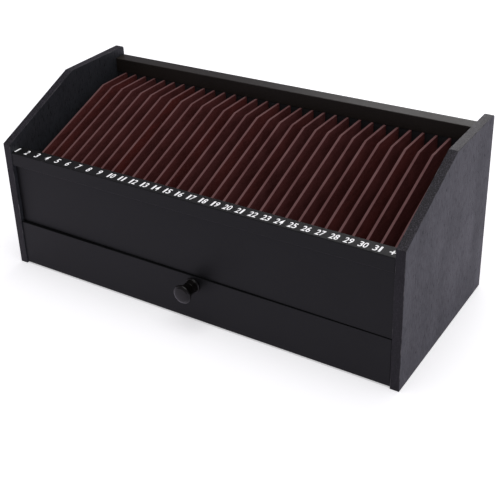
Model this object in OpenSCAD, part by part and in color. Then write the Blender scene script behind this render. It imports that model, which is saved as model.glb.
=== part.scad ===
// Desk sorter: a row of day-of-the-month slots over one shallow drawer.
// Millimetres, +Z up. The origin is at the bottom centre of the whole object, knob included.

/* [Slots] */
// Number of slots across the case
slot_count = 32; // [28:1:34]
// Distance from one slot to the next
slot_pitch = 12; // [10:0.5:14]
// Thickness of a divider
divider_t = 2.2; // [1.8:0.1:2.2]
// Height of the flat rear part of a divider's top edge
divider_top = 145; // [140:1:150]
// Length of that flat part, from the back rail to the knee
divider_flat = 38; // [30:1:60]
// Fall of the divider's sloping top edge, in degrees
divider_slope = 20; // [15:1:20]

/* [Case] */
// Depth of the case, without the knob
case_d = 176; // [170:1:190]
// Height of the side panels at the back
side_h = 168; // [163:1:180]
// Height of the side panels at the front edge
front_h = 127; // [122:1:135]
// Length of the side panels' flat top, from the back to the knee
side_flat = 81.5; // [60:0.5:100]
// Thickness of the side panels
side_t = 8; // [8:0.5:10]
// Radius of the side panels' top rear corner
corner_r = 3; // [1:0.5:5]
// Thickness of the front and back panels
panel_t = 8; // [7:0.5:8]
// Side of the square back rail
back_rail_s = 14; // [13:0.5:14]
// Height of the number rail, top to bottom
number_rail_h = 13; // [13:0.5:14]
// Depth of the number rail, front to back
number_rail_d = 15; // [13:0.5:15]
// Height of the number rail's top face
number_top = 119; // [118.5:0.5:120]
// Set-back of the number rail from the side panels' front edges
number_setback = 0.5; // [0.1:0.1:0.9]
// Set-back of the front panel from the side panels' front edges
panel_setback = 4; // [3:0.5:4.5]
// How much further forward the front panel's face stands at its right end
panel_taper = 2.5; // [0:0.5:2.5]
// Thickness of the slotted boards that hold the dividers
comb_t = 5.5; // [5:0.5:6]
// Depth of the grooves in the slotted boards
comb_groove = 3; // [2:0.5:3.5]

/* [Shelf and bottom] */
// Thickness of the shelf under the slots
shelf_t = 6; // [5:0.5:6.5]
// Height of the shelf's underside
shelf_z = 47.5; // [47:0.5:49]
// Thickness of the bottom board
bottom_t = 3; // [2.5:0.5:3]
// Height of the bottom board's underside
bottom_z = 1; // [1:0.1:1.3]
// Depth of the grooves that hold the shelf and the bottom board
housing = 3; // [2:0.5:4]

/* [Drawer] */
// Height of the drawer front's lower edge
drawer_z = 1.4; // [1.2:0.1:3]
// Height of the drawer front
drawer_h = 44.4; // [40:0.1:44.5]
// Thickness of the drawer front
drawer_front_t = 9; // [8.5:0.5:9]
// How far the drawer front stands behind the side panels' front edges
drawer_setback = 1; // [0.5:0.5:1]
// Gap at each end of the drawer front
drawer_gap = 0.5; // [0.4:0.1:1.5]
// Thickness of the drawer's sides and back
drawer_wall = 7; // [6.5:0.5:8]
// Height of the drawer's sides
drawer_side_h = 36; // [34:0.5:38]
// Length of the drawer's sides
drawer_len = 150; // [120:1:152]

/* [Knob] */
// Sideways place of the knob
knob_x = 7; // [-20:1:20]
// Height of the knob's axis
knob_z = 36.8; // [30:0.1:37]
// Length of the knob
knob_len = 19; // [17:0.5:22]
// Diameter of the knob's face
knob_d = 17.5; // [16:0.5:17.5]
// Diameter of the knob's foot
foot_d = 14; // [14:0.5:15]
// Diameter of the knob's neck
neck_d = 11.5; // [10:0.5:11.5]

/* [Hidden] */
eps = 0.01;
inner_w = slot_count * slot_pitch;
half_in = inner_w / 2;
knob_out = knob_len - drawer_setback;
front_y = -(case_d + knob_out) / 2 + knob_out;
back_y = front_y + case_d;
knee_y = back_y - side_flat;

number_y = front_y + number_setback;
number_z = number_top - number_rail_h;
panel_y = front_y + panel_setback;
front_comb_y = panel_y + panel_t;
back_panel_y = back_y - panel_t;
back_comb_y = back_panel_y - comb_t;
back_rail_y = back_y - back_rail_s;
shelf_top = shelf_z + shelf_t;
drawer_top = drawer_z + drawer_h;
panel_gap = 0.5;
panel_z = drawer_top + panel_gap;

divider_front = front_comb_y + comb_t - comb_groove;
divider_back = back_comb_y + comb_groove;
divider_knee = back_comb_y - divider_flat;
divider_front_top = divider_top - (divider_knee - divider_front) * tan(divider_slope);
groove_clear = 0.1;

drawer_run = 0.5;
drawer_half = half_in - drawer_gap - drawer_run;
drawer_face_y = front_y + drawer_setback;
drawer_side_y = drawer_face_y + drawer_front_t;
drawer_lift = 0.3;
drawer_side_z = bottom_z + bottom_t + drawer_lift;
drawer_back_y = drawer_side_y + drawer_len - drawer_wall;
tray_t = 3;
tray_rise = 3;
tray_z = drawer_side_z + tray_rise;
bottom_clear = 0.2;
bottom_y = drawer_side_y + bottom_clear;

screw_d = 4;
screw_hole_d = 4.4;
screw_in_knob = 9;
screw_head_d = 8;
screw_head_t = 2.6;
screw_slot = [4.6, 2.6, 1];
washer_d = 10;
washer_t = 0.8;

// Dowels in each side panel: [y, z, diameter]
rail_dowel_d = 6;
board_dowel_d = 4;
dowel_in_side = 5;
dowel_in_board = 14;
case_dowel_places = [
    [number_y + number_rail_d / 2, number_z + number_rail_h / 2, rail_dowel_d],
    [back_y - back_rail_s / 2, divider_top + back_rail_s / 2, rail_dowel_d],
    [panel_y + panel_t / 2, 60, board_dowel_d],
    [panel_y + panel_t / 2, 92, board_dowel_d],
    [back_y - panel_t / 2, 25, board_dowel_d],
    [back_y - panel_t / 2, 75, board_dowel_d],
    [back_y - panel_t / 2, 125, board_dowel_d],
];

// Heights of the dowels that join the drawer front to the drawer sides
front_dowel_d = 3.5;
front_dowel_heights = [18, 33];
front_dowel_in_front = 6;
front_dowel_in_side = 12;

// Heights of the nails that hold the drawer back, and places of the brads under it
nail_d = 1.6;
nail_head_d = 3;
nail_head_t = 1;
nail_len = 20;
nail_heights = [17, 33];
brad_d = 1.4;
brad_head_d = 2.6;
brad_head_t = 0.8;
brad_len = 14;
brad_places = [-120, -40, 40, 120];

$fn = 64;

function divider_name(i) = str("divider_", i < 10 ? "0" : "", i);
function divider_x(i) = -half_in + i * slot_pitch;

// A board given by its lowest and highest corners
module board(low, high) {
    translate(low) cube(high - low);
}

// A board that runs the full width between the side panels
module cross_board(low_y, low_z, high_y, high_z, reach = 0) {
    board([-half_in - reach, low_y, low_z], [half_in + reach, high_y, high_z]);
}

// A cylinder from one point along +X, +Y or +Z
module rod_x(at, d, l) { translate(at) rotate([0, 90, 0]) cylinder(d = d, h = l); }
module rod_y(at, d, l) { translate(at) rotate([-90, 0, 0]) cylinder(d = d, h = l); }
module rod_z(at, d, l) { translate(at) cylinder(d = d, h = l); }

// The dowels on the +X side, also used to drill their holes
module case_dowels(extra = 0) {
    for (p = case_dowel_places)
        rod_x([half_in - dowel_in_board - extra, p[0], p[1]], p[2],
              dowel_in_board + dowel_in_side + 2 * extra);
}

module both_sides() {
    children();
    mirror([1, 0, 0]) children();
}

module side_outline() {
    polygon([
        [front_y, 0], [back_y, 0], [back_y, side_h - corner_r], [back_y - corner_r, side_h],
        [knee_y, side_h], [front_y, front_h],
    ]);
    translate([back_y - corner_r, side_h - corner_r]) circle(r = corner_r);
}

module right_side() {
    difference() {
        translate([half_in, 0, 0]) rotate([90, 0, 90]) linear_extrude(side_t) side_outline();
        case_dowels();
        board([half_in - eps, front_comb_y, shelf_z], [half_in + housing, back_panel_y, shelf_top]);
        board([half_in - eps, bottom_y, bottom_z], [half_in + housing, back_panel_y, bottom_z + bottom_t]);
    }
}

module right_side_panel() { color("#2a2a2d") right_side(); }

module left_side_panel() { color("#2a2a2d") mirror([1, 0, 0]) right_side(); }

module number_rail() {
    color("#2f2f31") difference() {
        cross_board(number_y, number_z, number_y + number_rail_d, number_top);
        both_sides() case_dowels();
    }
}

module front_panel() {
    color("#28282b") difference() {
        translate([0, 0, panel_z]) linear_extrude(number_z - panel_z) polygon([
            [-half_in, front_comb_y], [-half_in, panel_y],
            [half_in, panel_y - panel_taper], [half_in, front_comb_y],
        ]);
        both_sides() case_dowels();
    }
}

module back_rail() {
    color("#2f2f31") difference() {
        cross_board(back_rail_y, divider_top, back_y, divider_top + back_rail_s);
        both_sides() case_dowels();
    }
}

module back_panel() {
    color("#28282b") difference() {
        cross_board(back_panel_y, 0, back_y, divider_top);
        both_sides() case_dowels();
        cross_board(back_panel_y - eps, bottom_z, back_panel_y + housing, bottom_z + bottom_t, eps);
    }
}

// Upright grooves for the dividers, from low_y to high_y
module divider_grooves(low_y, high_y, high_z) {
    for (i = [1 : slot_count - 1])
        board([divider_x(i) - (divider_t + groove_clear) / 2, low_y, shelf_top - eps],
              [divider_x(i) + (divider_t + groove_clear) / 2, high_y, high_z]);
}

module front_slotted_board() {
    color("#303033") difference() {
        cross_board(front_comb_y, shelf_top, front_comb_y + comb_t, number_z);
        divider_grooves(divider_front, front_comb_y + comb_t + eps, number_z + eps);
    }
}

module back_slotted_board() {
    color("#303033") difference() {
        cross_board(back_comb_y, shelf_top, back_panel_y, divider_top);
        divider_grooves(back_comb_y - eps, divider_back, divider_top + eps);
    }
}

module shelf_board() {
    color("#2a2a2c") cross_board(front_comb_y, shelf_z, back_panel_y, shelf_top, housing);
}

module bottom_board() {
    color("#4a3a2c") union() {
        cross_board(bottom_y, bottom_z, back_panel_y, bottom_z + bottom_t, housing);
        cross_board(back_panel_y - eps, bottom_z, back_panel_y + housing, bottom_z + bottom_t);
    }
}

module case_dowels_right() { color("#c8a878") case_dowels(); }

module case_dowels_left() { color("#c8a878") mirror([1, 0, 0]) case_dowels(); }

module divider(i) {
    color("#4a1c1a") translate([divider_x(i) - divider_t / 2, 0, 0]) rotate([90, 0, 90])
        linear_extrude(divider_t) polygon([
            [divider_front, shelf_top], [divider_back, shelf_top], [divider_back, divider_top],
            [divider_knee, divider_top], [divider_front, divider_front_top],
        ]);
}

// The dowels between the drawer front and the right-hand drawer side
module front_dowels() {
    for (z = front_dowel_heights)
        rod_y([drawer_half - drawer_wall / 2, drawer_side_y - front_dowel_in_front, z], front_dowel_d,
              front_dowel_in_front + front_dowel_in_side);
}

// The nails through the right-hand drawer side into the drawer back
module back_nails() {
    for (z = nail_heights) {
        rod_x([drawer_half - nail_len, drawer_back_y + drawer_wall / 2, z], nail_d, nail_len - eps);
        rod_x([drawer_half - nail_head_t, drawer_back_y + drawer_wall / 2, z], nail_head_d, nail_head_t);
    }
}

// The brads through the drawer bottom into the drawer back
module back_brads() {
    for (x = brad_places) {
        rod_z([x, drawer_back_y + drawer_wall / 2, tray_z + eps], brad_d, brad_len);
        rod_z([x, drawer_back_y + drawer_wall / 2, tray_z], brad_head_d, brad_head_t);
    }
}

// The drawer bottom, which sits in grooves in the front and the sides
module tray_board() {
    board([-drawer_half + drawer_wall - housing, drawer_side_y - housing, tray_z],
          [drawer_half - drawer_wall + housing, drawer_back_y + drawer_wall, tray_z + tray_t]);
}

module knob_screw_hole(d) {
    rod_y([knob_x, drawer_face_y - screw_in_knob, knob_z], d, screw_in_knob + drawer_front_t + eps);
}

module drawer_front() {
    color("#29292c") difference() {
        board([-half_in + drawer_gap, drawer_face_y, drawer_z],
              [half_in - drawer_gap, drawer_side_y, drawer_top]);
        both_sides() front_dowels();
        tray_board();
        knob_screw_hole(screw_hole_d);
    }
}

module right_drawer_side() {
    difference() {
        board([drawer_half - drawer_wall, drawer_side_y, drawer_side_z],
              [drawer_half, drawer_side_y + drawer_len, drawer_side_z + drawer_side_h]);
        front_dowels();
        back_nails();
        tray_board();
    }
}

module drawer_right_side() { color("#2d2c2d") right_drawer_side(); }

module drawer_left_side() { color("#2d2c2d") mirror([1, 0, 0]) right_drawer_side(); }

module drawer_back() {
    color("#2d2c2d") difference() {
        board([-drawer_half + drawer_wall, drawer_back_y, tray_z + tray_t],
              [drawer_half - drawer_wall, drawer_back_y + drawer_wall, drawer_side_z + drawer_side_h]);
        both_sides() back_nails();
        back_brads();
    }
}

module drawer_bottom() {
    color("#3a3230") difference() {
        tray_board();
        back_brads();
    }
}

module drawer_dowels() { color("#c8a878") both_sides() front_dowels(); }

module drawer_nails() { color("#9a9a9a") both_sides() back_nails(); }

module drawer_bottom_brads() { color("#9a9a9a") back_brads(); }

// Half of the knob's section: radius against distance from the drawer front.
// A flat foot, a cove down to the neck, a scored ring, a flare up to the rim and a shallow domed face.
foot_t = 1.4;
ring_z = 6.8;
ring_w = 0.9;
ring_depth = 0.4;
rim_r = 1.8;
dome_h = 1;
knob_r = knob_d / 2;
neck_r = neck_d / 2;
foot_r = foot_d / 2;
rim_z = knob_len - dome_h - rim_r;
cove_edge = 0.8;
cove_gap = 1;
flare_turn = 80;
knob_steps = 8;
rim_steps = 6;

module knob_profile() {
    cove = [for (k = [0 : knob_steps]) let (a = 90 * k / knob_steps)
        [neck_r + (foot_r - cove_edge - neck_r) * (1 - sin(a)),
         foot_t + (ring_z - cove_gap - foot_t) * (1 - cos(a))]];
    ring = [[neck_r, ring_z], [neck_r - ring_depth, ring_z + ring_w / 2], [neck_r, ring_z + ring_w]];
    flare_z = ring_z + ring_w;
    flare = [for (k = [1 : knob_steps]) let (a = flare_turn * k / knob_steps)
        [neck_r + (knob_r - rim_r - neck_r) * (1 - cos(a)) / (1 - cos(flare_turn)),
         flare_z + (rim_z - rim_r - flare_z) * sin(a) / sin(flare_turn)]];
    rim = [for (k = [0 : rim_steps]) let (a = -90 + 180 * k / rim_steps)
        [knob_r - rim_r + rim_r * cos(a), rim_z + rim_r * sin(a)]];
    dome = [for (k = [1 : knob_steps]) let (a = 90 * k / knob_steps)
        [(knob_r - rim_r) * cos(a), rim_z + rim_r + dome_h * sin(a)]];
    polygon(concat([[0, 0], [foot_r, 0], [foot_r, foot_t]], cove, ring, flare, rim, dome));
}

module drawer_knob() {
    color("#1c1c1e") difference() {
        translate([knob_x, drawer_face_y, knob_z]) rotate([90, 0, 0]) rotate_extrude() knob_profile();
        knob_screw_hole(screw_d);
    }
}

module knob_screw() {
    head_y = drawer_side_y + washer_t;
    color("#b0b0b2") union() {
        rod_y([knob_x, drawer_face_y - screw_in_knob, knob_z], screw_d,
              head_y - drawer_face_y + screw_in_knob + eps);
        difference() {
            rod_y([knob_x, head_y, knob_z], screw_head_d, screw_head_t);
            for (turn = [0, 90]) translate([knob_x, head_y + screw_head_t, knob_z]) rotate([0, turn, 0])
                cube(screw_slot, center = true);
        }
    }
}

module knob_washer() {
    color("#b0b0b2") difference() {
        rod_y([knob_x, drawer_side_y, knob_z], washer_d, washer_t);
        rod_y([knob_x, drawer_side_y - eps, knob_z], screw_hole_d, washer_t + 2 * eps);
    }
}

left_side_panel();
right_side_panel();
number_rail();
front_panel();
back_rail();
back_panel();
front_slotted_board();
back_slotted_board();
shelf_board();
bottom_board();
case_dowels_left();
case_dowels_right();
drawer_front();
drawer_left_side();
drawer_right_side();
drawer_back();
drawer_bottom();
drawer_dowels();
drawer_nails();
drawer_bottom_brads();
drawer_knob();
knob_screw();
knob_washer();
for (i = [1 : slot_count - 1]) {
    divider(i);
}
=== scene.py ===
# %% [markdown]
# # A black desk sorter with thirty-two slots and a drawer
# The real piece is a small wooden case. Thirty-one thin dividers stand in it like the pages of a book,
# a number rail runs along the front, and a shallow drawer slides out underneath. The CAD model already
# fixes every size, so this lesson adds what a CAD model leaves out: softened edges, stained and painted
# surfaces, the printed numbers and the light. We load the model first and keep its box, because nothing
# that we add may stand outside it.

# %% Load the frame
import math
import bmesh
import bpy
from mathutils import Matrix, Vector


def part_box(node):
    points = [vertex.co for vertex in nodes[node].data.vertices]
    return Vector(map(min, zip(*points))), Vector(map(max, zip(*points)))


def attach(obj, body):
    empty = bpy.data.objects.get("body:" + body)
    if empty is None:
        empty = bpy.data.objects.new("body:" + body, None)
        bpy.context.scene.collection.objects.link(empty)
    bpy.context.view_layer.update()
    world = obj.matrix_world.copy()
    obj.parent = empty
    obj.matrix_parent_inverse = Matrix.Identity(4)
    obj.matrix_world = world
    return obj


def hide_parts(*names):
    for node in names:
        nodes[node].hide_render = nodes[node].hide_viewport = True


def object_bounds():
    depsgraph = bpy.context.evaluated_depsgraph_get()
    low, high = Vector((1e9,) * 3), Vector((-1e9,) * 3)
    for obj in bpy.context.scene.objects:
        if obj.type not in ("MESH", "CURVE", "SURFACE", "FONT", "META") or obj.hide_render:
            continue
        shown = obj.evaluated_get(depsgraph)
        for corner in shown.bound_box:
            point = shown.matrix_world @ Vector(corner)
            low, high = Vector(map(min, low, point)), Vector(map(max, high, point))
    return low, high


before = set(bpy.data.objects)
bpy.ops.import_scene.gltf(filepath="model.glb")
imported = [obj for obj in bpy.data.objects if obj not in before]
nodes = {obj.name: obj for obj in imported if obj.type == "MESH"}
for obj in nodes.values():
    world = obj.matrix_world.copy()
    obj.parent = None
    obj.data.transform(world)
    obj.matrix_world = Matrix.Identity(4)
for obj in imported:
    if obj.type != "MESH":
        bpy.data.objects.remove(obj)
cad_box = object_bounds()
MM = 0.001
print("frame:", len(nodes), "nodes, box", [round(v, 3) for v in cad_box[1] - cad_box[0]])

# %% [markdown]
# ## Where the camera stands
# The camera comes early, since every later choice is judged through it. It stands to the right of the
# case, a little higher than an eye at the desk, and looks down along the slots. A long lens keeps the
# case's edges nearly parallel. The small shift moves the picture on the film instead of turning the
# camera, as a view camera does, so upright edges don't lean more than they should.

# %% Camera
case_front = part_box("right_side_panel")[0].y
camera_place = Vector((0.4342, case_front - 0.5750, 0.4976))
camera_turn = (62.67, 2.58, 33.46)
camera_data = bpy.data.cameras.new("camera")
camera_data.lens = 70.9
camera_data.sensor_width = 36.0
camera_data.shift_x = 0.0719
camera_data.shift_y = -0.1185
camera = bpy.data.objects.new("camera", camera_data)
camera.location = camera_place
camera.rotation_euler = [math.radians(v) for v in camera_turn]
bpy.context.scene.collection.objects.link(camera)
bpy.context.scene.camera = camera
print("camera: %.0f mm lens, %.2f m from the case" % (camera_data.lens, camera_place.length))

# %% [markdown]
# ## A small vocabulary for nodes
# Shader and geometry trees are both lists of nodes with links between them. Written out in full they
# hide the idea under bookkeeping, so one helper makes a node, sets its plain settings, and fills each
# input with either a value or a link. Each tree below then reads as a recipe.

# %% Node helper
def add(tree, kind, inputs=None, **settings):
    made = tree.nodes.new(kind)
    for name, value in settings.items():
        setattr(made, name, value)
    for key, value in (inputs or {}).items():
        if isinstance(value, bpy.types.NodeSocket):
            tree.links.new(value, made.inputs[key])
        else:
            made.inputs[key].default_value = value
    return made


def calc(tree, operation, a, b=0.0, c=0.0):
    return add(tree, "ShaderNodeMath", {0: a, 1: b, 2: c}, operation=operation).outputs[0]


def ramp(tree, value, low, high, to_low=0.0, to_high=1.0):
    """Turns low..high into to_low..to_high, eased at both ends and held beyond them."""
    made = add(tree, "ShaderNodeMapRange", {0: value, 1: low, 2: high, 3: to_low, 4: to_high},
               interpolation_type="SMOOTHSTEP")
    return made.outputs[0]


def mix(tree, first, second, share):
    """first and second added in the shares 1 - share and share."""
    return calc(tree, "MULTIPLY_ADD", second, share, calc(tree, "MULTIPLY", first, 1.0 - share))


def split(tree, vector):
    """The x, y and z outputs of a vector."""
    return add(tree, "ShaderNodeSeparateXYZ", {0: vector}).outputs


def join(tree, x=0.0, y=0.0, z=0.0):
    return add(tree, "ShaderNodeCombineXYZ", {0: x, 1: y, 2: z}).outputs[0]


def blend_colors(tree, factor, first, second):
    made = add(tree, "ShaderNodeMix", {0: factor, 6: first, 7: second}, data_type="RGBA")
    return made.outputs[2]


def noise(tree, vector, scale, detail=3.0, rough=0.55):
    made = add(tree, "ShaderNodeTexNoise",
               {"Vector": vector, "Scale": scale, "Detail": detail, "Roughness": rough})
    return made.outputs[0]


def group_tree(name, inputs, outputs):
    """An empty shader group with named sockets: (name, type, default) in, names of values out."""
    tree = bpy.data.node_groups.new(name, "ShaderNodeTree")
    for label, kind, value in inputs:
        socket = tree.interface.new_socket(label, in_out="INPUT", socket_type=kind)
        if value is not None:
            socket.default_value = value
    for label in outputs:
        tree.interface.new_socket(label, in_out="OUTPUT", socket_type="NodeSocketFloat")
    start = tree.nodes.new("NodeGroupInput")
    end = tree.nodes.new("NodeGroupOutput")
    return tree, start, end


FLOAT, VECTOR = "NodeSocketFloat", "NodeSocketVector"
print("node helpers ready")

# %% [markdown]
# ## Wood grain as a shader group
# The side panels are open-grained wood under a thin black stain. Three things show: fine streaks along
# the grain, broad soft bands where the board was cut, and short pores where the stain sank in. All three
# are the same noise, stretched along the grain by different amounts, so one group makes them and every
# wooden finish reuses it with its own stretch. `Stretch` is how many features fit in a metre along each
# axis, so the small number is the grain's direction.

# %% Group: wood grain
def make_grain_group():
    sockets = [("Vector", VECTOR, None), ("Stretch", VECTOR, (700, 700, 30)), ("Pore amount", FLOAT, 0.5)]
    tree, start, end = group_tree("wood_grain", sockets, ["Streak", "Band", "Pore"])
    stretched = add(tree, "ShaderNodeVectorMath", {0: start.outputs["Vector"], 1: start.outputs["Stretch"]},
                    operation="MULTIPLY").outputs[0]
    streak = noise(tree, stretched, 1.0, 4.0, 0.65)
    band = noise(tree, stretched, 0.07, 2.0, 0.5)
    pore_noise = noise(tree, stretched, 1.6, 1.0, 0.4)
    edge = calc(tree, "SUBTRACT", 0.86, calc(tree, "MULTIPLY", start.outputs["Pore amount"], 0.3))
    pore = ramp(tree, calc(tree, "SUBTRACT", pore_noise, edge), 0.0, 0.07)
    tree.links.new(streak, end.inputs["Streak"])
    tree.links.new(band, end.inputs["Band"])
    tree.links.new(pore, end.inputs["Pore"])
    return tree


wood_grain = make_grain_group()
print("group:", wood_grain.name, [s.name for s in wood_grain.nodes["Group Output"].inputs][:3])

# %% [markdown]
# ## Edge wear as a shader group
# Black paint rubs thin where hands and other objects touch it, and that is along the edges. Every board
# below carries an attribute called `edge`, 1 on its rounded corners and fading to 0 two millimetres in.
# The group keeps only its last fifth, a narrow line along the corner, and multiplies that with noise, so
# the wear comes in patches and not as a drawn line. `Amount` raises the noise, which joins the patches.

# %% Group: edge wear
def make_wear_group():
    sockets = [("Vector", VECTOR, None), ("Edge", FLOAT, 0.0), ("Amount", FLOAT, 0.5), ("Scale", FLOAT, 90.0)]
    tree, start, end = group_tree("edge_wear", sockets, ["Mask"])
    patches = noise(tree, start.outputs["Vector"], start.outputs["Scale"], 5.0, 0.7)
    raised = calc(tree, "ADD", patches, start.outputs["Amount"])
    mask = ramp(tree, raised, 0.85, 1.15)
    present = ramp(tree, start.outputs["Edge"], 0.8, 1.0)
    tree.links.new(calc(tree, "MULTIPLY", mask, present), end.inputs["Mask"])
    return tree


edge_wear = make_wear_group()
print("group:", edge_wear.name)

# %% [markdown]
# ## Paint mottling and dust as a shader group
# Brushed matt paint is never even: it has cloudy patches a few centimetres wide, and a fine grit. A few
# specks of light dust have settled in it. The group gives the clouds, the grit and the specks apart, so
# that a finish can put each where it belongs: clouds in the colour and gloss, grit in the bump.

# %% Group: mottle
def make_mottle_group():
    sockets = [("Vector", VECTOR, None), ("Cloud scale", FLOAT, 22.0), ("Grit scale", FLOAT, 1500.0),
               ("Speck scale", FLOAT, 160.0), ("Speck amount", FLOAT, 0.1)]
    tree, start, end = group_tree("paint_mottle", sockets, ["Cloud", "Grit", "Speck"])
    vector = start.outputs["Vector"]
    cloud = noise(tree, vector, start.outputs["Cloud scale"], 4.0, 0.6)
    grit = noise(tree, vector, start.outputs["Grit scale"], 2.0, 0.6)
    cells = add(tree, "ShaderNodeTexVoronoi", {"Vector": vector, "Scale": start.outputs["Speck scale"]})
    near = ramp(tree, cells.outputs["Distance"], 0.10, 0.04)
    chosen_cell = add(tree, "ShaderNodeSeparateColor", {0: cells.outputs["Color"]}).outputs[0]
    chosen = calc(tree, "LESS_THAN", chosen_cell, start.outputs["Speck amount"])
    tree.links.new(cloud, end.inputs["Cloud"])
    tree.links.new(grit, end.inputs["Grit"])
    tree.links.new(calc(tree, "MULTIPLY", near, chosen), end.inputs["Speck"])
    return tree


paint_mottle = make_mottle_group()
print("group:", paint_mottle.name)

# %% [markdown]
# ## Starting a material
# Each finish below is one Principled shader fed by the groups. This helper makes the material and hands
# back the three things that every recipe starts from: the tree, the shader, and object coordinates in
# metres, which stay fixed to the wood however the body moves.

# %% Material helper
def new_material(name, roughness, specular=0.5):
    material = bpy.data.materials.new(name)
    material.use_nodes = True
    tree = material.node_tree
    shader = tree.nodes["Principled BSDF"]
    shader.inputs["Roughness"].default_value = roughness
    shader.inputs["Specular IOR Level"].default_value = specular
    where = tree.nodes.new("ShaderNodeTexCoord").outputs["Object"]
    return material, tree, shader, where


def use_group(tree, group, inputs):
    return add(tree, "ShaderNodeGroup", inputs, node_tree=group).outputs


def attribute(tree, name):
    return add(tree, "ShaderNodeAttribute", attribute_name=name).outputs["Fac"]


def bump(tree, shader, height, strength, distance):
    made = add(tree, "ShaderNodeBump", {"Strength": strength, "Distance": distance, "Height": height})
    tree.links.new(made.outputs[0], shader.inputs["Normal"])


def grey(value, warm=0.0):
    """A near-grey colour in linear light; warm above 0 leans to red, below 0 to blue."""
    return (value * (1 + warm), value, value * (1 - warm), 1.0)


print("material helper ready")

# %% [markdown]
# ## Black stain on the side panels
# Stain is thin, so it changes the wood's colour but keeps its relief. The colour moves only a little with
# the streaks and bands; most of what the eye reads as grain is the gloss changing from streak to streak.
# So the streaks drive the roughness and a very low bump too, and the pores are both darker and duller.
# Sawn edges soak up more stain than the faces and come out blacker, and dust settles on what faces up,
# so the normal decides between the two stains and how much pale grit lies on top.

# %% Finish: stained side
FACE_STAIN = (grey(0.026, -0.10), grey(0.040, -0.10))
END_STAIN = ((0.0062, 0.0058, 0.0070, 1.0), (0.0094, 0.0088, 0.0104, 1.0))
PORE_BLACK = grey(0.003)
SETTLED_DUST = (0.058, 0.051, 0.064, 1.0)
DUST_SPECK = grey(0.07)
RUBBED_EDGE = grey(0.13, 0.03)


def stained_side():
    material, tree, shader, where = new_material("stained_side", 0.5, 0.2)
    grain = use_group(tree, wood_grain, {"Vector": where, "Stretch": (760, 760, 120), "Pore amount": 0.72})
    mottle = use_group(tree, paint_mottle, {"Vector": where, "Cloud scale": 20.0, "Grit scale": 1300.0,
                                            "Speck amount": 0.012})
    wear = use_group(tree, edge_wear, {"Vector": where, "Edge": attribute(tree, "edge"), "Amount": 0.40})
    facing = split(tree, add(tree, "ShaderNodeTexCoord").outputs["Normal"])
    on_face = ramp(tree, calc(tree, "ABSOLUTE", facing[0]), 0.5, 0.9)
    upward = ramp(tree, facing[2], 0.2, 0.8)
    # Colour, from the wood outwards: stain, pores, dust, worn edges, specks
    shade = mix(tree, grain["Streak"], grain["Band"], 0.25)
    shaded = ramp(tree, shade, 0.35, 0.65)
    stain = blend_colors(tree, on_face, blend_colors(tree, shaded, *END_STAIN),
                         blend_colors(tree, shaded, *FACE_STAIN))
    pored = blend_colors(tree, grain["Pore"], stain, PORE_BLACK)
    settled = calc(tree, "MULTIPLY_ADD", upward, 0.65, 0.25)
    grit = calc(tree, "MULTIPLY", ramp(tree, mottle["Grit"], 0.46, 0.66), settled)
    gritty = blend_colors(tree, grit, pored, SETTLED_DUST)
    rubbed = blend_colors(tree, wear["Mask"], gritty, RUBBED_EDGE)
    speckled = blend_colors(tree, calc(tree, "MULTIPLY", mottle["Speck"], 0.5), rubbed, DUST_SPECK)
    tree.links.new(speckled, shader.inputs["Base Color"])
    # Gloss and relief follow the same streaks and pores
    grained = ramp(tree, shade, 0.36, 0.64, 0.51, 0.41)
    patched = calc(tree, "ADD", grained, ramp(tree, mottle["Cloud"], 0.3, 0.7, 0.04, -0.04))
    dull = calc(tree, "ADD", patched, calc(tree, "MULTIPLY", grain["Pore"], 0.16))
    tree.links.new(dull, shader.inputs["Roughness"])
    relief = calc(tree, "SUBTRACT", calc(tree, "MULTIPLY", grain["Streak"], 0.6), grain["Pore"])
    bump(tree, shader, relief, 0.3, 0.00015)
    return material


side_finish = stained_side()
print("finish:", side_finish.name)

# %% [markdown]
# ## Black paint on the rails, panels and drawer front
# These boards were painted, so the wood hardly shows. One recipe makes every paint: the panels are matt,
# the number rail is a little smoother, the back rail is older and browner, and the boards inside are dull.
# What changes is how black the paint is, how rough, how much it reflects, and how far its edges are worn.

# %% Finish: black paint
def black_paint(name, dark, light, rough, specular, worn, warm=0.0):
    material, tree, shader, where = new_material(name, rough, specular)
    mottle = use_group(tree, paint_mottle, {"Vector": where, "Speck amount": 0.0})
    wear = use_group(tree, edge_wear, {"Vector": where, "Edge": attribute(tree, "edge"), "Amount": worn})
    uneven = mix(tree, mottle["Cloud"], mottle["Grit"], 0.6)
    base = blend_colors(tree, ramp(tree, uneven, 0.35, 0.65), grey(dark, warm), grey(light, warm))
    rubbed = blend_colors(tree, calc(tree, "MULTIPLY", wear["Mask"], 0.7), base, grey(0.06, 0.03))
    tree.links.new(rubbed, shader.inputs["Base Color"])
    tree.links.new(ramp(tree, uneven, 0.35, 0.65, rough - 0.03, rough + 0.03), shader.inputs["Roughness"])
    bump(tree, shader, mottle["Grit"], 0.35, 0.00010)
    return material


panel_finish = black_paint("painted_panel", dark=0.0030, light=0.0072, rough=0.48, specular=0.21,
                           worn=0.25, warm=-0.04)
number_rail_finish = black_paint("number_rail_paint", dark=0.0050, light=0.0072, rough=0.48, specular=0.20,
                                 worn=0.30, warm=-0.02)
back_rail_finish = black_paint("back_rail_paint", dark=0.0120, light=0.0165, rough=0.45, specular=0.22,
                               worn=0.30, warm=0.22)
slotted_finish = black_paint("slotted_board", dark=0.016, light=0.024, rough=0.6, specular=0.2, worn=0.2)
inner_finish = black_paint("inner_board", dark=0.005, light=0.009, rough=0.65, specular=0.15,
                           worn=0.2, warm=0.05)
print("finishes:", panel_finish.name, number_rail_finish.name, back_rail_finish.name, slotted_finish.name)

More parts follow.
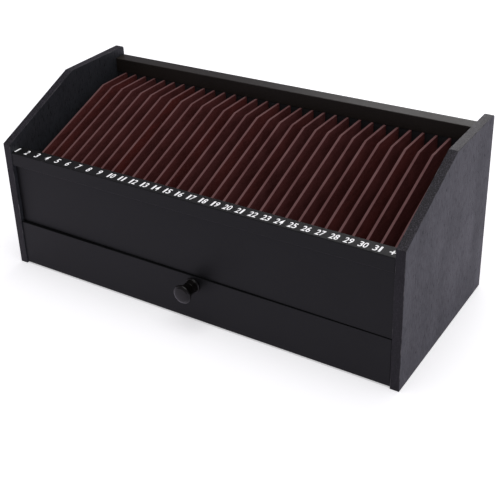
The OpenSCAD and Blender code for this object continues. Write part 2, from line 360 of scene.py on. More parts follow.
# %% [markdown]
# ## Burgundy divider board
# The dividers are thin fibreboard, stained a brownish burgundy. No two took the stain alike, and their
# sawn top edges stayed paler than their faces. The difference from one board to the next is an attribute
# called `tone`, which the Geometry Nodes tree further down gives each divider. The pale edges need no
# attribute: an edge face is one whose normal doesn't point sideways, so the shader can tell by itself.

# %% Finish: dividers
RED_STAIN = (0.165, 0.026, 0.019, 1.0)
MAUVE_STAIN = (0.140, 0.052, 0.051, 1.0)
DARK_PATCH = (0.070, 0.016, 0.014, 1.0)
PALE_FIBRE = (0.24, 0.10, 0.09, 1.0)
SAWN_EDGE = ((0.125, 0.056, 0.055, 1.0), (0.165, 0.084, 0.082, 1.0))


def divider_board():
    material, tree, shader, where = new_material("divider_board", 0.65, 0.12)
    facing = split(tree, add(tree, "ShaderNodeTexCoord").outputs["Normal"])
    on_rim = ramp(tree, calc(tree, "ABSOLUTE", facing[0]), 0.75, 0.35)
    tone = attribute(tree, "tone")
    shifted = add(tree, "ShaderNodeVectorMath", {0: where, 1: tone, 2: (0, 0, 0)}, operation="ADD").outputs[0]
    grain = use_group(tree, wood_grain, {"Vector": shifted, "Stretch": (300, 36, 260), "Pore amount": 0.3})
    mottle = use_group(tree, paint_mottle,
                       {"Vector": shifted, "Cloud scale": 30.0, "Grit scale": 1100.0, "Speck amount": 0.02})
    stain = blend_colors(tree, tone, RED_STAIN, MAUVE_STAIN)
    uneven = mix(tree, mottle["Cloud"], grain["Streak"], 0.4)
    stained = blend_colors(tree, ramp(tree, uneven, 0.38, 0.60, 0.7, 0.0), stain, DARK_PATCH)
    fibres = blend_colors(tree, ramp(tree, mottle["Grit"], 0.45, 0.70, 0.0, 0.45), stained, PALE_FIBRE)
    sawn = blend_colors(tree, ramp(tree, mottle["Cloud"], 0.3, 0.7), *SAWN_EDGE)
    tree.links.new(blend_colors(tree, on_rim, fibres, sawn), shader.inputs["Base Color"])
    bump(tree, shader, calc(tree, "ADD", mottle["Grit"], grain["Streak"]), 0.3, 0.00012)
    return material


divider_finish = divider_board()
print("finish:", divider_finish.name)

# %% [markdown]
# ## Plain woods for the drawer box, thin boards and dowels
# These are seen only with the drawer out, or not at all. The drawer's inside is dark stained softwood, the
# thin bottoms are brown hardboard, and the dowels are bare beech. A picture of wood could be wrapped round
# each, but every board would have to be unwrapped first. The grain group needs no unwrapping, so one
# recipe with two colours and a grain direction makes them all.

# %% Finish: plain woods
def plain_wood(name, dark, light, rough, stretch, pores, specular=0.35):
    material, tree, shader, where = new_material(name, rough, specular)
    grain = use_group(tree, wood_grain, {"Vector": where, "Stretch": stretch, "Pore amount": pores})
    shade = mix(tree, grain["Streak"], grain["Band"], 0.4)
    board = blend_colors(tree, ramp(tree, shade, 0.35, 0.65), dark, light)
    pored = blend_colors(tree, calc(tree, "MULTIPLY", grain["Pore"], 0.7), board,
                         [0.4 * v for v in dark[:3]] + [1.0])
    tree.links.new(pored, shader.inputs["Base Color"])
    tree.links.new(ramp(tree, shade, 0.3, 0.7, rough - 0.07, rough + 0.07), shader.inputs["Roughness"])
    bump(tree, shader, grain["Streak"], 0.25, 0.00015)
    return material


DARK_SOFTWOOD = ((0.020, 0.015, 0.013, 1), (0.045, 0.034, 0.029, 1))
drawer_box_finish = plain_wood("drawer_box", *DARK_SOFTWOOD, 0.58, (420, 16, 420), 0.5)
drawer_back_finish = plain_wood("drawer_box_across", *DARK_SOFTWOOD, 0.58, (16, 420, 420), 0.5)
thin_finish = plain_wood("thin_board", (0.045, 0.026, 0.016, 1), (0.085, 0.052, 0.033, 1), 0.6,
                         (60, 420, 420), 0.1)
dowel_finish = plain_wood("dowel", (0.45, 0.30, 0.16, 1), (0.62, 0.45, 0.27, 1), 0.6, (20, 700, 700), 0.4)
print("finishes:", drawer_box_finish.name, thin_finish.name, dowel_finish.name)

# %% [markdown]
# ## Steel, lacquer and print
# Three smooth finishes share one recipe, since only colour, gloss and metal tell them apart. The nails and
# the screw are plain steel. The knob alone is really glossy, a turned knob dipped in black lacquer: a low
# roughness over black gives its sharp highlights. The white print also gets a faint glow, which is painted
# light: it makes the ink brighter beside the black paint than the lamps alone make it.

# %% Finish: steel, lacquer and print
def small_finish(name, dark, light, rough, scale, specular=0.5, metal=0.0):
    material, tree, shader, where = new_material(name, rough, specular)
    shader.inputs["Metallic"].default_value = metal
    mottle = use_group(tree, paint_mottle,
                       {"Vector": where, "Cloud scale": scale, "Grit scale": 8 * scale, "Speck amount": 0.0})
    cloud = ramp(tree, mottle["Cloud"], 0.3, 0.7)
    tree.links.new(blend_colors(tree, cloud, dark, light), shader.inputs["Base Color"])
    tree.links.new(ramp(tree, mottle["Cloud"], 0.3, 0.7, rough, rough + 0.08), shader.inputs["Roughness"])
    bump(tree, shader, mottle["Grit"], 0.1, 0.00005)
    return material


steel_finish = small_finish("steel", grey(0.42), grey(0.58, 0.02), 0.3, 180.0, metal=1.0)
knob_finish = small_finish("knob_lacquer", grey(0.003, 0.15), grey(0.005, 0.15), 0.16, 120.0, specular=0.26)
print_and_glow_finish = small_finish("number_print_and_glow", grey(0.82), grey(0.92), 0.5, 500.0, specular=0.4)
# The print's emission is painted light: a faint glow of its own that makes the ink brighter than the lamps
# do.
print_glow_shader = print_and_glow_finish.node_tree.nodes["Principled BSDF"]
print_glow_shader.inputs["Emission Color"].default_value = grey(1.0)
print_glow_shader.inputs["Emission Strength"].default_value = 0.35
print("finishes:", steel_finish.name, knob_finish.name, print_and_glow_finish.name)

# %% [markdown]
# ## Boards with softened edges
# A sawn and sanded board never has a razor edge, and the thin bright line along a rounded edge is what
# tells the eye that it is solid wood. A Bevel modifier could round the edges alone, but the wear also has
# to know where they are. So each board is built as a mesh of its own: every edge is bevelled, every large
# face is inset two millimetres, and the ring between bevel and inset carries the `edge` attribute from 1
# down to 0 for the wear.

# %% Board maker
EDGE_FADE = 2.0 * MM
SHARPEST_LEFT = math.radians(20)
SMALLEST_INSET_FACE = (4.0 * MM) ** 2
NARROWEST_INSET_FACE = 1.5 * EDGE_FADE


def finish_board(name, mesh_build, radius, material, body, node):
    """Bevels a closed bmesh, marks its edges for wear, and hands it over in place of its CAD node."""
    edges = [e for e in mesh_build.edges if e.calc_face_angle(0.0) > SHARPEST_LEFT]
    bmesh.ops.bevel(mesh_build, geom=edges, offset=radius, segments=3, profile=0.5, affect="EDGES")
    large = [f for f in mesh_build.faces if f.calc_area() > SMALLEST_INSET_FACE and len(f.verts) > 3]
    large = [f for f in large
             if len(f.verts) > 5 or min(e.calc_length() for e in f.edges) > NARROWEST_INSET_FACE]
    bmesh.ops.inset_individual(mesh_build, faces=large, thickness=EDGE_FADE, depth=0.0)
    mesh_build.verts.index_update()
    inner = {v.index for f in large for v in f.verts}
    mesh_build.normal_update()
    mesh = bpy.data.meshes.new(name)
    layer = mesh_build.verts.layers.float.new("edge")
    for vertex in mesh_build.verts:
        vertex[layer] = 0.0 if vertex.index in inner else 1.0
    mesh_build.to_mesh(mesh)
    mesh_build.free()
    mesh.materials.append(material)
    piece = bpy.data.objects.new(name, mesh)
    bpy.context.scene.collection.objects.link(piece)
    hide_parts(node)
    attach(piece, body)
    return piece


def box_board(node, radius, material, body):
    """A six-faced board in its node's box, with its front corners where the CAD mesh has them."""
    low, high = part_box(node)
    build = bmesh.new()
    bmesh.ops.create_cube(build, size=1.0)
    corners = [v.co for v in nodes[node].data.vertices]
    for vertex in build.verts:
        vertex.co = Vector([(low[i] + high[i]) / 2 + vertex.co[i] * (high[i] - low[i]) for i in range(3)])
        if vertex.co.y < high.y - MM:
            vertex.co.y = min(c.y for c in corners if abs(c.x - vertex.co.x) < 0.1 * MM)
    return finish_board(node + "_board", build, radius, material, body, node)


print("board maker ready, wear fades over", EDGE_FADE / MM, "mm")

# %% [markdown]
# ## The two side panels
# A side panel is a five-sided board: upright at the front and back, flat on top at the back, and sloping
# down towards the front. A box with a slice cut off would do, but an outline is what a maker marks on the
# board before sawing, so we draw that and push it out to the thickness. Its knee and front height are read
# from the CAD mesh. The top rear corner is rounded by hand-sanding, here a short arc of five steps.

# %% Side panels
CORNER_R = 3.0 * MM
CORNER_STEPS = 5
SIDE_EDGE_R = 0.35 * MM
LEVEL = 0.01 * MM


def side_panel(node):
    low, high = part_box(node)
    points = [v.co for v in nodes[node].data.vertices]
    knee_y = min(p.y for p in points if p.z > high.z - LEVEL)
    front_z = max(p.z for p in points if p.y < low.y + LEVEL)
    outline = [(low.y, low.z), (high.y, low.z)]
    for step in range(CORNER_STEPS + 1):
        angle = math.radians(90 * step / CORNER_STEPS)
        outline.append((high.y - CORNER_R + CORNER_R * math.cos(angle),
                        high.z - CORNER_R + CORNER_R * math.sin(angle)))
    outline += [(knee_y, high.z), (low.y, front_z)]
    build = bmesh.new()
    near = [build.verts.new((low.x, y, z)) for y, z in outline]
    far = [build.verts.new((high.x, y, z)) for y, z in outline]
    build.faces.new(reversed(near))
    build.faces.new(far)
    for i in range(len(outline)):
        j = (i + 1) % len(outline)
        build.faces.new((near[i], near[j], far[j], far[i]))
    bmesh.ops.recalc_face_normals(build, faces=build.faces)
    return finish_board(node + "_board", build, SIDE_EDGE_R, side_finish, "case", node)


side_boards = [side_panel("left_side_panel"), side_panel("right_side_panel")]
print("side panels:", [len(p.data.polygons) for p in side_boards], "faces each")

# %% [markdown]
# ## Rails, panels and the drawer's boards
# The rest of the boards have six faces, so one line each is enough. Only the radius changes: the rails
# are handled most and are the roundest, and the panels and the drawer front are crisp. The front panel is
# set a little out of square, so the board maker reads its front corners from the CAD mesh.

# %% Straight boards
straight_boards = [
    ("number_rail", 0.8, number_rail_finish, "case", "painted_rail"),
    ("back_rail", 0.6, back_rail_finish, "case", "painted_rail"),
    ("front_panel", 0.3, panel_finish, "case", "painted_panel"),
    ("back_panel", 0.6, panel_finish, "case", "painted_panel"),
    ("drawer_front", 0.3, panel_finish, "drawer", "painted_panel"),
    ("drawer_left_side", 0.5, drawer_box_finish, "drawer", "drawer_box"),
    ("drawer_right_side", 0.5, drawer_box_finish, "drawer", "drawer_box"),
    ("drawer_back", 0.5, drawer_back_finish, "drawer", "drawer_box"),
]
for node, radius, finish, body, slot_name in straight_boards:
    board = box_board(node, radius * MM, finish, body)
    print("board:", board.name, len(board.data.polygons), "faces")

# %% [markdown]
# ## Thirty-one dividers from one rule
# The dividers are the heart of the piece, and they all follow one rule: a flat board whose top edge climbs
# from the front at a fixed slope and levels off at the knee. They could be drawn one by one, but then a new
# slope would mean thirty-one changes. So we measure only what the rule needs, from the CAD: the knee, the
# slope, and the pitch from one board to the next.

# %% Measure the dividers
first_low, first_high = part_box("divider_01")
divider_names = sorted(n for n in nodes if n.startswith("divider_"))
divider_points = [v.co for v in nodes["divider_01"].data.vertices]
divider_knee = min(p.y for p in divider_points if p.z > first_high.z - LEVEL)
divider_front_top = max(p.z for p in divider_points if p.y < first_low.y + LEVEL)
divider_slope = (first_high.z - divider_front_top) / (divider_knee - first_low.y)
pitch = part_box("divider_02")[0].x - first_low.x
print("dividers: %d, pitch %.1f mm, slope %.1f degrees"
      % (len(divider_names), pitch / MM, math.degrees(math.atan(divider_slope))))

# %% [markdown]
# ## Starting and running a Geometry Nodes tree
# Two rows on this case are made by a rule, the dividers and the numbers, so both steps that they share come
# first. One helper starts a tree with named inputs. The other runs it on an empty object and turns the
# result into a plain mesh. The modifier could stay live, but a plain mesh is easier to check and to move.

# %% Helpers: start and run a tree
def geometry_tree(name, sockets):
    """An empty geometry tree with a Geometry socket at each end and (name, type, default) inputs."""
    tree = bpy.data.node_groups.new(name, "GeometryNodeTree")
    tree.interface.new_socket("Geometry", in_out="INPUT", socket_type="NodeSocketGeometry")
    for label, kind, value in sockets:
        socket = tree.interface.new_socket(label, in_out="INPUT", socket_type=kind)
        socket.default_value = value
    tree.interface.new_socket("Geometry", in_out="OUTPUT", socket_type="NodeSocketGeometry")
    return tree, tree.nodes.new("NodeGroupInput"), tree.nodes.new("NodeGroupOutput")


def run_tree(name, tree, values, extra=()):
    """Runs a tree on an empty object, then any extra modifiers, and returns a plain mesh object."""
    host = bpy.data.objects.new(name + "_host", bpy.data.meshes.new(name + "_host"))
    bpy.context.scene.collection.objects.link(host)
    modifier = host.modifiers.new("rule", "NODES")
    modifier.node_group = tree
    for item in tree.interface.items_tree:
        if item.in_out == "INPUT" and item.name in values:
            modifier[item.identifier] = values[item.name]
    for kind, settings in extra:
        finisher = host.modifiers.new(kind.lower(), kind)
        for key, value in settings.items():
            setattr(finisher, key, value)
    graph = bpy.context.evaluated_depsgraph_get()
    mesh = bpy.data.meshes.new_from_object(host.evaluated_get(graph), depsgraph=graph)
    mesh.name = name
    bpy.data.objects.remove(host)
    piece = bpy.data.objects.new(name, mesh)
    bpy.context.scene.collection.objects.link(piece)
    return piece


print("tree helpers ready")

# %% [markdown]
# ## The divider row as a tree
# The tree makes one board as a grid of points, lifts each point to its share of the height under the
# sloping edge, and puts a copy at every step of the pitch. An Array modifier would repeat the board too,
# but every copy would be the same. Here each copy gets its own `tone`, part chance and part its place in
# the row, and a bow of a fraction of a millimetre, because thin board is never quite flat.

# %% Geometry Nodes: the divider row
def divider_row_tree():
    sockets = [("Count", "NodeSocketInt", 31), ("Pitch", FLOAT, 0.012), ("Seed", "NodeSocketInt", 4),
               ("Bow", FLOAT, 0.0003), ("Thickness", FLOAT, 0.002), ("First", VECTOR, (0, 0, 0)),
               ("Length", FLOAT, 0.15), ("Height", FLOAT, 0.09), ("Front height", FLOAT, 0.05),
               ("Slope", FLOAT, 0.364)]
    tree, start, end = geometry_tree("divider_row", sockets)
    given = start.outputs
    unit = add(tree, "GeometryNodeMeshCube",
               {"Size": (1, 1, 1), "Vertices X": 2, "Vertices Y": 12, "Vertices Z": 4}).outputs[0]
    # The unit cube's points run from -0.5 to 0.5; each is moved to its place in the board
    place = split(tree, add(tree, "GeometryNodeInputPosition").outputs[0])
    across = calc(tree, "MULTIPLY", calc(tree, "ADD", place[0], 0.5), given["Thickness"])
    along = calc(tree, "MULTIPLY", calc(tree, "ADD", place[1], 0.5), given["Length"])
    sloping = calc(tree, "MULTIPLY_ADD", along, given["Slope"], given["Front height"])
    top_here = calc(tree, "MINIMUM", sloping, given["Height"])
    up = calc(tree, "MULTIPLY", calc(tree, "ADD", place[2], 0.5), top_here)
    shape = join(tree, across, along, up)
    board = add(tree, "GeometryNodeSetPosition", {"Geometry": unit, "Position": shape})
    row = add(tree, "GeometryNodeMeshLine", {"Count": given["Count"], "Start Location": given["First"],
                                             "Offset": join(tree, given["Pitch"])}).outputs[0]
    copies = add(tree, "GeometryNodeInstanceOnPoints", {"Points": row, "Instance": board.outputs[0]})
    tone = add(tree, "FunctionNodeRandomValue", {2: 0.0, 3: 1.0, "Seed": given["Seed"]}, data_type="FLOAT")
    place_in_row = calc(tree, "DIVIDE", add(tree, "GeometryNodeInputIndex").outputs[0], given["Count"])
    mixed_tone = mix(tree, tone.outputs[1], place_in_row, 0.35)
    toned = add(tree, "GeometryNodeStoreNamedAttribute",
                {"Geometry": copies.outputs[0], "Name": "tone", "Value": mixed_tone},
                data_type="FLOAT", domain="INSTANCE")
    bow_seed = calc(tree, "ADD", given["Seed"], 1.0)
    bow = add(tree, "FunctionNodeRandomValue", {2: -1.0, 3: 1.0, "Seed": bow_seed}, data_type="FLOAT")
    bowed = add(tree, "GeometryNodeStoreNamedAttribute",
                {"Geometry": toned.outputs[0], "Name": "bow", "Value": bow.outputs[1]},
                data_type="FLOAT", domain="INSTANCE")
    solid = add(tree, "GeometryNodeRealizeInstances", {0: bowed.outputs[0]})
    # The bow is widest halfway along the board and at its top, and nothing at its lower edge
    here = split(tree, add(tree, "GeometryNodeInputPosition").outputs[0])
    origin = split(tree, given["First"])
    share = calc(tree, "DIVIDE", calc(tree, "SUBTRACT", here[1], origin[1]), given["Length"])
    arch = calc(tree, "SINE", calc(tree, "MULTIPLY", share, math.pi))
    rise = calc(tree, "DIVIDE", calc(tree, "SUBTRACT", here[2], origin[2]), given["Height"])
    amount = add(tree, "GeometryNodeInputNamedAttribute", {"Name": "bow"}, data_type="FLOAT").outputs[0]
    widest = calc(tree, "MULTIPLY", amount, given["Bow"])
    push = calc(tree, "MULTIPLY", calc(tree, "MULTIPLY", arch, rise), widest)
    bent = add(tree, "GeometryNodeSetPosition", {"Geometry": solid.outputs[0], "Offset": join(tree, push)})
    final = add(tree, "GeometryNodeSetMaterial", {"Geometry": bent.outputs[0], "Material": divider_finish})
    tree.links.new(final.outputs[0], end.inputs[0])
    return tree


divider_size = first_high - first_low
divider_bevel = {"width": 0.08 * MM, "segments": 2, "limit_method": "ANGLE", "angle_limit": math.radians(50)}
dividers = run_tree("dividers", divider_row_tree(), {
    "Count": len(divider_names), "Pitch": pitch, "Seed": 11, "Bow": 0.35 * MM, "First": first_low,
    "Thickness": divider_size.x, "Length": divider_size.y, "Height": divider_size.z,
    "Front height": divider_front_top - first_low.z, "Slope": divider_slope}, [("BEVEL", divider_bevel)])
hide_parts(*divider_names)
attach(dividers, "case")
print("dividers:", len(dividers.data.polygons), "faces, tone kept:", "tone" in dividers.data.attributes)

# %% [markdown]
# ## The shapes of the printed numbers
# The slots are numbered 1 to 31, with a plus sign over the last, in heavy narrow figures printed on the
# rail. A picture of the print would blur close up, so the ink is real geometry. Ten figures and a sign are
# all the shapes there are. Each is drawn once as text, made bolder, squeezed and given the thickness of a
# coat of ink; only the 1 is drawn thinner, and half as wide.

# %% Draw the figures once
FIGURE_HEIGHT = 7.8 * MM
FIGURE_WIDTH = 3.5 * MM
ONE_WIDTH = 0.50 * FIGURE_WIDTH
PLUS_SIZE = 5.8 * MM
BOLD, PLUS_BOLD, ONE_BOLD = 0.012, 0.010, -0.012
INK = 0.04 * MM


def figure(index, character, width, height, boldness):
    """One character as a thin solid, centred on the origin and scaled to exactly width and height."""
    text = bpy.data.curves.new("figure", "FONT")
    text.body = character
    text.offset = boldness
    text.resolution_u = 4
    host = bpy.data.objects.new("figure_host", text)
    bpy.context.scene.collection.objects.link(host)
    graph = bpy.context.evaluated_depsgraph_get()
    mesh = bpy.data.meshes.new_from_object(host.evaluated_get(graph), depsgraph=graph)
    bpy.data.objects.remove(host)
    corners = [v.co for v in mesh.vertices]
    low = Vector([min(c[i] for c in corners) for i in range(3)])
    high = Vector([max(c[i] for c in corners) for i in range(3)])
    for vertex in mesh.vertices:
        vertex.co.x = (vertex.co.x - (low.x + high.x) / 2) / (high.x - low.x) * width
        vertex.co.y = (vertex.co.y - (low.y + high.y) / 2) / (high.y - low.y) * height
        vertex.co.z = 0.0
    build = bmesh.new()
    build.from_mesh(mesh)
    bmesh.ops.remove_doubles(build, verts=build.verts, dist=0.005 * MM)
    raised = bmesh.ops.extrude_face_region(build, geom=build.faces[:])
    top = [g for g in raised["geom"] if isinstance(g, bmesh.types.BMVert)]
    bmesh.ops.translate(build, verts=top, vec=(0, 0, INK))
    bmesh.ops.recalc_face_normals(build, faces=build.faces)
    build.to_mesh(mesh)
    build.free()
    return bpy.data.objects.new("figure_%02d" % index, mesh)


figures = bpy.data.collections.new("figures")
for digit in range(10):
    width, boldness = (ONE_WIDTH, ONE_BOLD) if digit == 1 else (FIGURE_WIDTH, BOLD)
    figures.objects.link(figure(digit, str(digit), width, FIGURE_HEIGHT, boldness))
figures.objects.link(figure(10, "+", PLUS_SIZE, PLUS_SIZE, PLUS_BOLD))

# %% [markdown]
# ## Numbering the rail
# Thirty-two text objects would do the job, but a tree can count. It sets the shapes along the rail as a
# printer would: the last figure of a number is its remainder after division by ten, and the tens figure is
# added only from ten on. Real numbering is not quite even. `Single extra` lets the spacing of the single
# figures creep, and `Double jump` is the small step where the pairs begin.

# %% Geometry Nodes: number the rail
def number_tree():
    sockets = [("Count", "NodeSocketInt", 32), ("Step", VECTOR, (0.0121, 0, 0)), ("First", VECTOR, (0, 0, 0)),
               ("Advance", FLOAT, 0.0035), ("Single extra", FLOAT, 0.0002), ("Double jump", FLOAT, 0.001)]
    tree, start, end = geometry_tree("number_row", sockets)
    given = start.outputs
    line = add(tree, "GeometryNodeMeshLine", {"Count": given["Count"], "Start Location": given["First"],
                                              "Offset": given["Step"]}).outputs[0]
    number = calc(tree, "ADD", add(tree, "GeometryNodeInputIndex").outputs[0], 1.0)
    singles = calc(tree, "MULTIPLY", calc(tree, "MINIMUM", number, 9.0), given["Single extra"])
    from_ten = calc(tree, "GREATER_THAN", number, 9.5)
    spread = calc(tree, "ADD", singles, calc(tree, "MULTIPLY", from_ten, given["Double jump"]))
    row = add(tree, "GeometryNodeSetPosition", {"Geometry": line, "Offset": join(tree, spread)}).outputs[0]
    last = calc(tree, "COMPARE", number, given["Count"], 0.1)
    two_figures = calc(tree, "MULTIPLY", from_ten, calc(tree, "SUBTRACT", 1.0, last))
    ones = calc(tree, "MODULO", number, 10.0)
    tens = calc(tree, "FLOOR", calc(tree, "DIVIDE", number, 10.0))
    shown = add(tree, "ShaderNodeMix", {0: last, 2: ones, 3: 10.0}, data_type="FLOAT").outputs[0]
    shapes = add(tree, "GeometryNodeCollectionInfo",
                 {"Collection": figures, "Separate Children": True, "Reset Children": True}).outputs[0]
    # A single figure stands in the middle; of a pair, one half stands to each side of it
    half = calc(tree, "MULTIPLY", given["Advance"], 0.5)
    right = join(tree, calc(tree, "MULTIPLY", half, two_figures))
    left = join(tree, calc(tree, "MULTIPLY", half, -1.0))
    parts = add(tree, "GeometryNodeJoinGeometry")
    for shift, index, chosen in ((right, shown, None), (left, tens, two_figures)):
        moved = add(tree, "GeometryNodeSetPosition", {"Geometry": row, "Offset": shift}).outputs[0]
        inputs = {"Points": moved, "Instance": shapes, "Pick Instance": True, "Instance Index": index}
        if chosen is not None:
            inputs["Selection"] = chosen
        copies = add(tree, "GeometryNodeInstanceOnPoints", inputs)
        tree.links.new(copies.outputs[0], parts.inputs[0])
    solid = add(tree, "GeometryNodeRealizeInstances", {0: parts.outputs[0]})
    final = add(tree, "GeometryNodeSetMaterial", {"Geometry": solid.outputs[0], "Material": print_and_glow_finish})
    tree.links.new(final.outputs[0], end.inputs[0])
    return tree


rail_low, rail_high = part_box("number_rail")
LABEL_STEP = Vector((12.09 * MM, -0.02 * MM, 0.0))
FIRST_LABEL_IN, LABEL_BACK = 1.4 * MM, 7.8 * MM
first_label = Vector((rail_low.x + FIRST_LABEL_IN, case_front + LABEL_BACK, rail_high.z - INK / 4))
numbers = run_tree("numbers", number_tree(), {
    "Count": len(divider_names) + 1, "Step": LABEL_STEP, "First": first_label, "Advance": 3.85 * MM,
    "Single extra": 0.23 * MM, "Double jump": 0.9 * MM})
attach(numbers, "case")
print("numbers:", len(numbers.data.polygons), "faces")

# %% [markdown]
# ## The turned knob
# A knob is a lathe job, so its shape is one profile spun about an axis: a flat foot, a cove down to the
# neck, a scored ring, a flare out to the rim, and a shallow dome. The length and the widest radius come
# from the CAD knob's box, and the smaller sizes are set here to match it. Blender's Spin tool could turn
# it, but joining rings of points by hand gives even faces and closes both ends.

# %% Knob
KNOB_SEGMENTS = 72
FOOT_T, FOOT_R, NECK_R = 1.4 * MM, 7.0 * MM, 5.75 * MM
FOOT_EDGE, FOOT_STEP, COVE_END = 0.25 * MM, 0.3 * MM, 1.0 * MM
RING_AT, RING_W, RING_DEPTH = 6.8 * MM, 0.9 * MM, 0.4 * MM
RIM_R, DOME_H = 1.8 * MM, 1.0 * MM
COVE_STEPS, FLARE_STEPS, RIM_STEPS, DOME_STEPS = 12, 14, 9, 12
FLARE_ANGLE = math.radians(80)


def arc(first, last, steps, skip=0):
    """The angles of an arc in even steps, without the first few when the last point stands there."""
    return [first + (last - first) * k / steps for k in range(skip, steps + 1)]


def knob_profile(length, radius):
    """(radius, distance from the drawer) points, from the foot's edge to the middle of the dome."""
    points = [(FOOT_R - FOOT_EDGE, 0.0), (FOOT_R, FOOT_EDGE), (FOOT_R, FOOT_T - FOOT_STEP)]
    for a in arc(0.0, math.pi / 2, COVE_STEPS):
        points.append((NECK_R + (FOOT_R - FOOT_STEP - NECK_R) * (1 - math.sin(a)),
                       FOOT_T + (RING_AT - COVE_END - FOOT_T) * (1 - math.cos(a))))
    flare_at = RING_AT + RING_W
    points += [(NECK_R, RING_AT), (NECK_R - RING_DEPTH, RING_AT + RING_W / 2), (NECK_R, flare_at)]
    rim_at = length - DOME_H - RIM_R
    flat_r = radius - RIM_R
    for a in arc(0.0, FLARE_ANGLE, FLARE_STEPS, 1):
        share = (1 - math.cos(a)) / (1 - math.cos(FLARE_ANGLE))
        points.append((NECK_R + (flat_r - NECK_R) * share,
                       flare_at + (rim_at - RIM_R - flare_at) * math.sin(a) / math.sin(FLARE_ANGLE)))
    for a in arc(-math.pi / 2, math.pi / 2, RIM_STEPS, 1):
        points.append((flat_r + RIM_R * math.cos(a), rim_at + RIM_R * math.sin(a)))
    for a in arc(0.0, math.pi / 2, DOME_STEPS, 1)[:-1]:
        points.append((flat_r * math.cos(a), rim_at + RIM_R + DOME_H * math.sin(a)))
    return points


def turned_knob():
    low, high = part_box("drawer_knob")
    middle_x, middle_z = (low.x + high.x) / 2, (low.z + high.z) / 2
    profile = knob_profile(high.y - low.y, (high.x - low.x) / 2)
    build = bmesh.new()
    rings = []
    turns = arc(0.0, 2 * math.pi, KNOB_SEGMENTS)[:-1]
    for radius, out in profile:
        around = [(middle_x + radius * math.cos(a), middle_z + radius * math.sin(a)) for a in turns]
        rings.append([build.verts.new((x, high.y - out, z)) for x, z in around])
    for near, far in zip(rings, rings[1:]):
        for k in range(KNOB_SEGMENTS):
            j = (k + 1) % KNOB_SEGMENTS
            build.faces.new((near[k], near[j], far[j], far[k]))
    for ring, y in ((rings[0], high.y), (rings[-1], low.y)):
        centre = build.verts.new((middle_x, y, middle_z))
        for k in range(KNOB_SEGMENTS):
            build.faces.new((ring[k], ring[(k + 1) % KNOB_SEGMENTS], centre))
    bmesh.ops.recalc_face_normals(build, faces=build.faces)
    mesh = bpy.data.meshes.new("turned_knob")
    build.to_mesh(mesh)
    build.free()
    mesh.shade_smooth()
    mesh.materials.append(knob_finish)
    piece = bpy.data.objects.new("turned_knob", mesh)
    bpy.context.scene.collection.objects.link(piece)
    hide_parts("drawer_knob")
    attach(piece, "drawer")
    return piece


knob = turned_knob()
print("knob:", len(knob.data.polygons), "faces")

# %% [markdown]
# ## The pieces that stay as the CAD made them
# The slotted boards, the shelf, the thin bottoms, dowels, nails, brads, screw and washer already have
# their right shape, grooves and bores included. They only need a finish, so this cell gives each node's
# object its material and nothing else.

# %% Finishes for the CAD pieces
cad_finishes = {
    "front_slotted_board": slotted_finish, "back_slotted_board": slotted_finish,
    "shelf_board": inner_finish, "bottom_board": thin_finish, "drawer_bottom": thin_finish,
    "case_dowels_left": dowel_finish, "case_dowels_right": dowel_finish, "drawer_dowels": dowel_finish,
    "drawer_nails": steel_finish, "drawer_bottom_brads": steel_finish,
    "knob_screw": steel_finish, "knob_washer": steel_finish,
}
for node, finish in cad_finishes.items():
    for place in nodes[node].material_slots:
        place.material = finish
print("finished as they are:", len(cad_finishes), "nodes")

# %% [markdown]
# ## The table
# Black satin shows almost nothing of its own colour: it shows what it reflects. The right side is seen at
# a low angle and mirrors the pale table, so it looks far lighter than the front although both are black.
# The table is thus part of the light as much as of the scene. To the camera it shows plain white, and for
# the case it is a little darker and cooler, as a real table in a room would be.

# %% Table
TABLE_COLOR, TABLE_GLOW = (0.83, 0.80, 0.88, 1.0), (0.54, 0.50, 0.60, 1.0)
ROOM_COLOR = (0.29, 0.28, 0.32, 1.0)
TABLE_GAP = 0.2 * MM


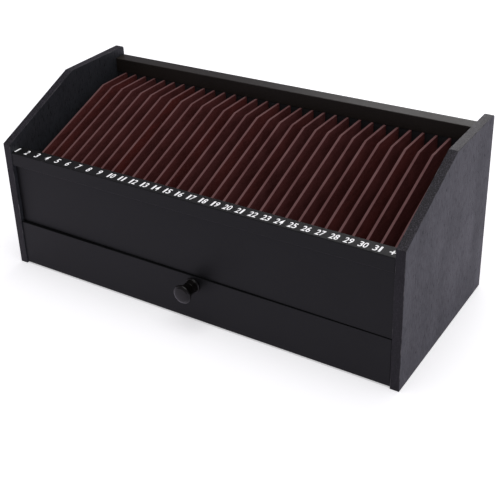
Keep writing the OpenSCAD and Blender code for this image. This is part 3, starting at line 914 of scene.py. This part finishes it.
def table_material():
    material, tree, shader, where = new_material("table", 0.9, 0.1)
    seen = tree.nodes.new("ShaderNodeLightPath").outputs["Is Camera Ray"]
    mottle = use_group(tree, paint_mottle, {"Vector": where, "Cloud scale": 1.5, "Speck amount": 0.0})
    pale = blend_colors(tree, mottle["Cloud"], grey(0.88), grey(0.92))
    tree.links.new(blend_colors(tree, seen, TABLE_COLOR, pale), shader.inputs["Base Color"])
    tree.links.new(blend_colors(tree, seen, TABLE_GLOW, grey(1.0)), shader.inputs["Emission Color"])
    shader.inputs["Emission Strength"].default_value = 0.45
    return material


bpy.ops.mesh.primitive_plane_add(size=12.0, location=(0, 0, cad_box[0][2] - TABLE_GAP))
table = bpy.context.object
table.name = "table"
table.data.materials.append(table_material())
print("table: 12 m of pale surface")

# %% [markdown]
# ## Soft light and surroundings
# Small lamps would put hard spots on the satin, so the light comes from large soft sources. A big light
# overhead brightens every upward face, and one behind the case puts a sheen on the top edges. The world
# shows plain white to the camera too, and otherwise lights the case as a dim, cool room would.

# %% Lights
def soft_light(name, place, target, size, power, color):
    data = bpy.data.lights.new(name, "AREA")
    data.shape = "RECTANGLE"
    data.size, data.size_y = size
    data.energy = power
    data.color = color
    light = bpy.data.objects.new(name, data)
    light.location = place
    light.rotation_euler = (Vector(target) - Vector(place)).to_track_quat("-Z", "Y").to_euler()
    bpy.context.scene.collection.objects.link(light)
    return light


soft_light("back_light", (-0.1, 2.0, 1.0), (0, 0, 0.1), (1.6, 1.0), 12.0, (1.0, 0.99, 0.98))
soft_light("top_light", (0.3, -0.2, 2.4), (0, 0, 0), (2.2, 2.2), 32.0, (1.0, 1.0, 1.0))
world = bpy.data.worlds.new("soft_surroundings")
world.use_nodes = True
sky = world.node_tree
seen = sky.nodes.new("ShaderNodeLightPath").outputs["Is Camera Ray"]
sky_color = blend_colors(sky, seen, ROOM_COLOR, grey(1.0))
sky.links.new(sky_color, sky.nodes["Background"].inputs[0])
bpy.context.scene.world = world
bpy.context.scene.view_settings.view_transform = "Standard"

# %% [markdown]
# ## The end
# The last cell prints that the scene is finished.

print("scene finished")
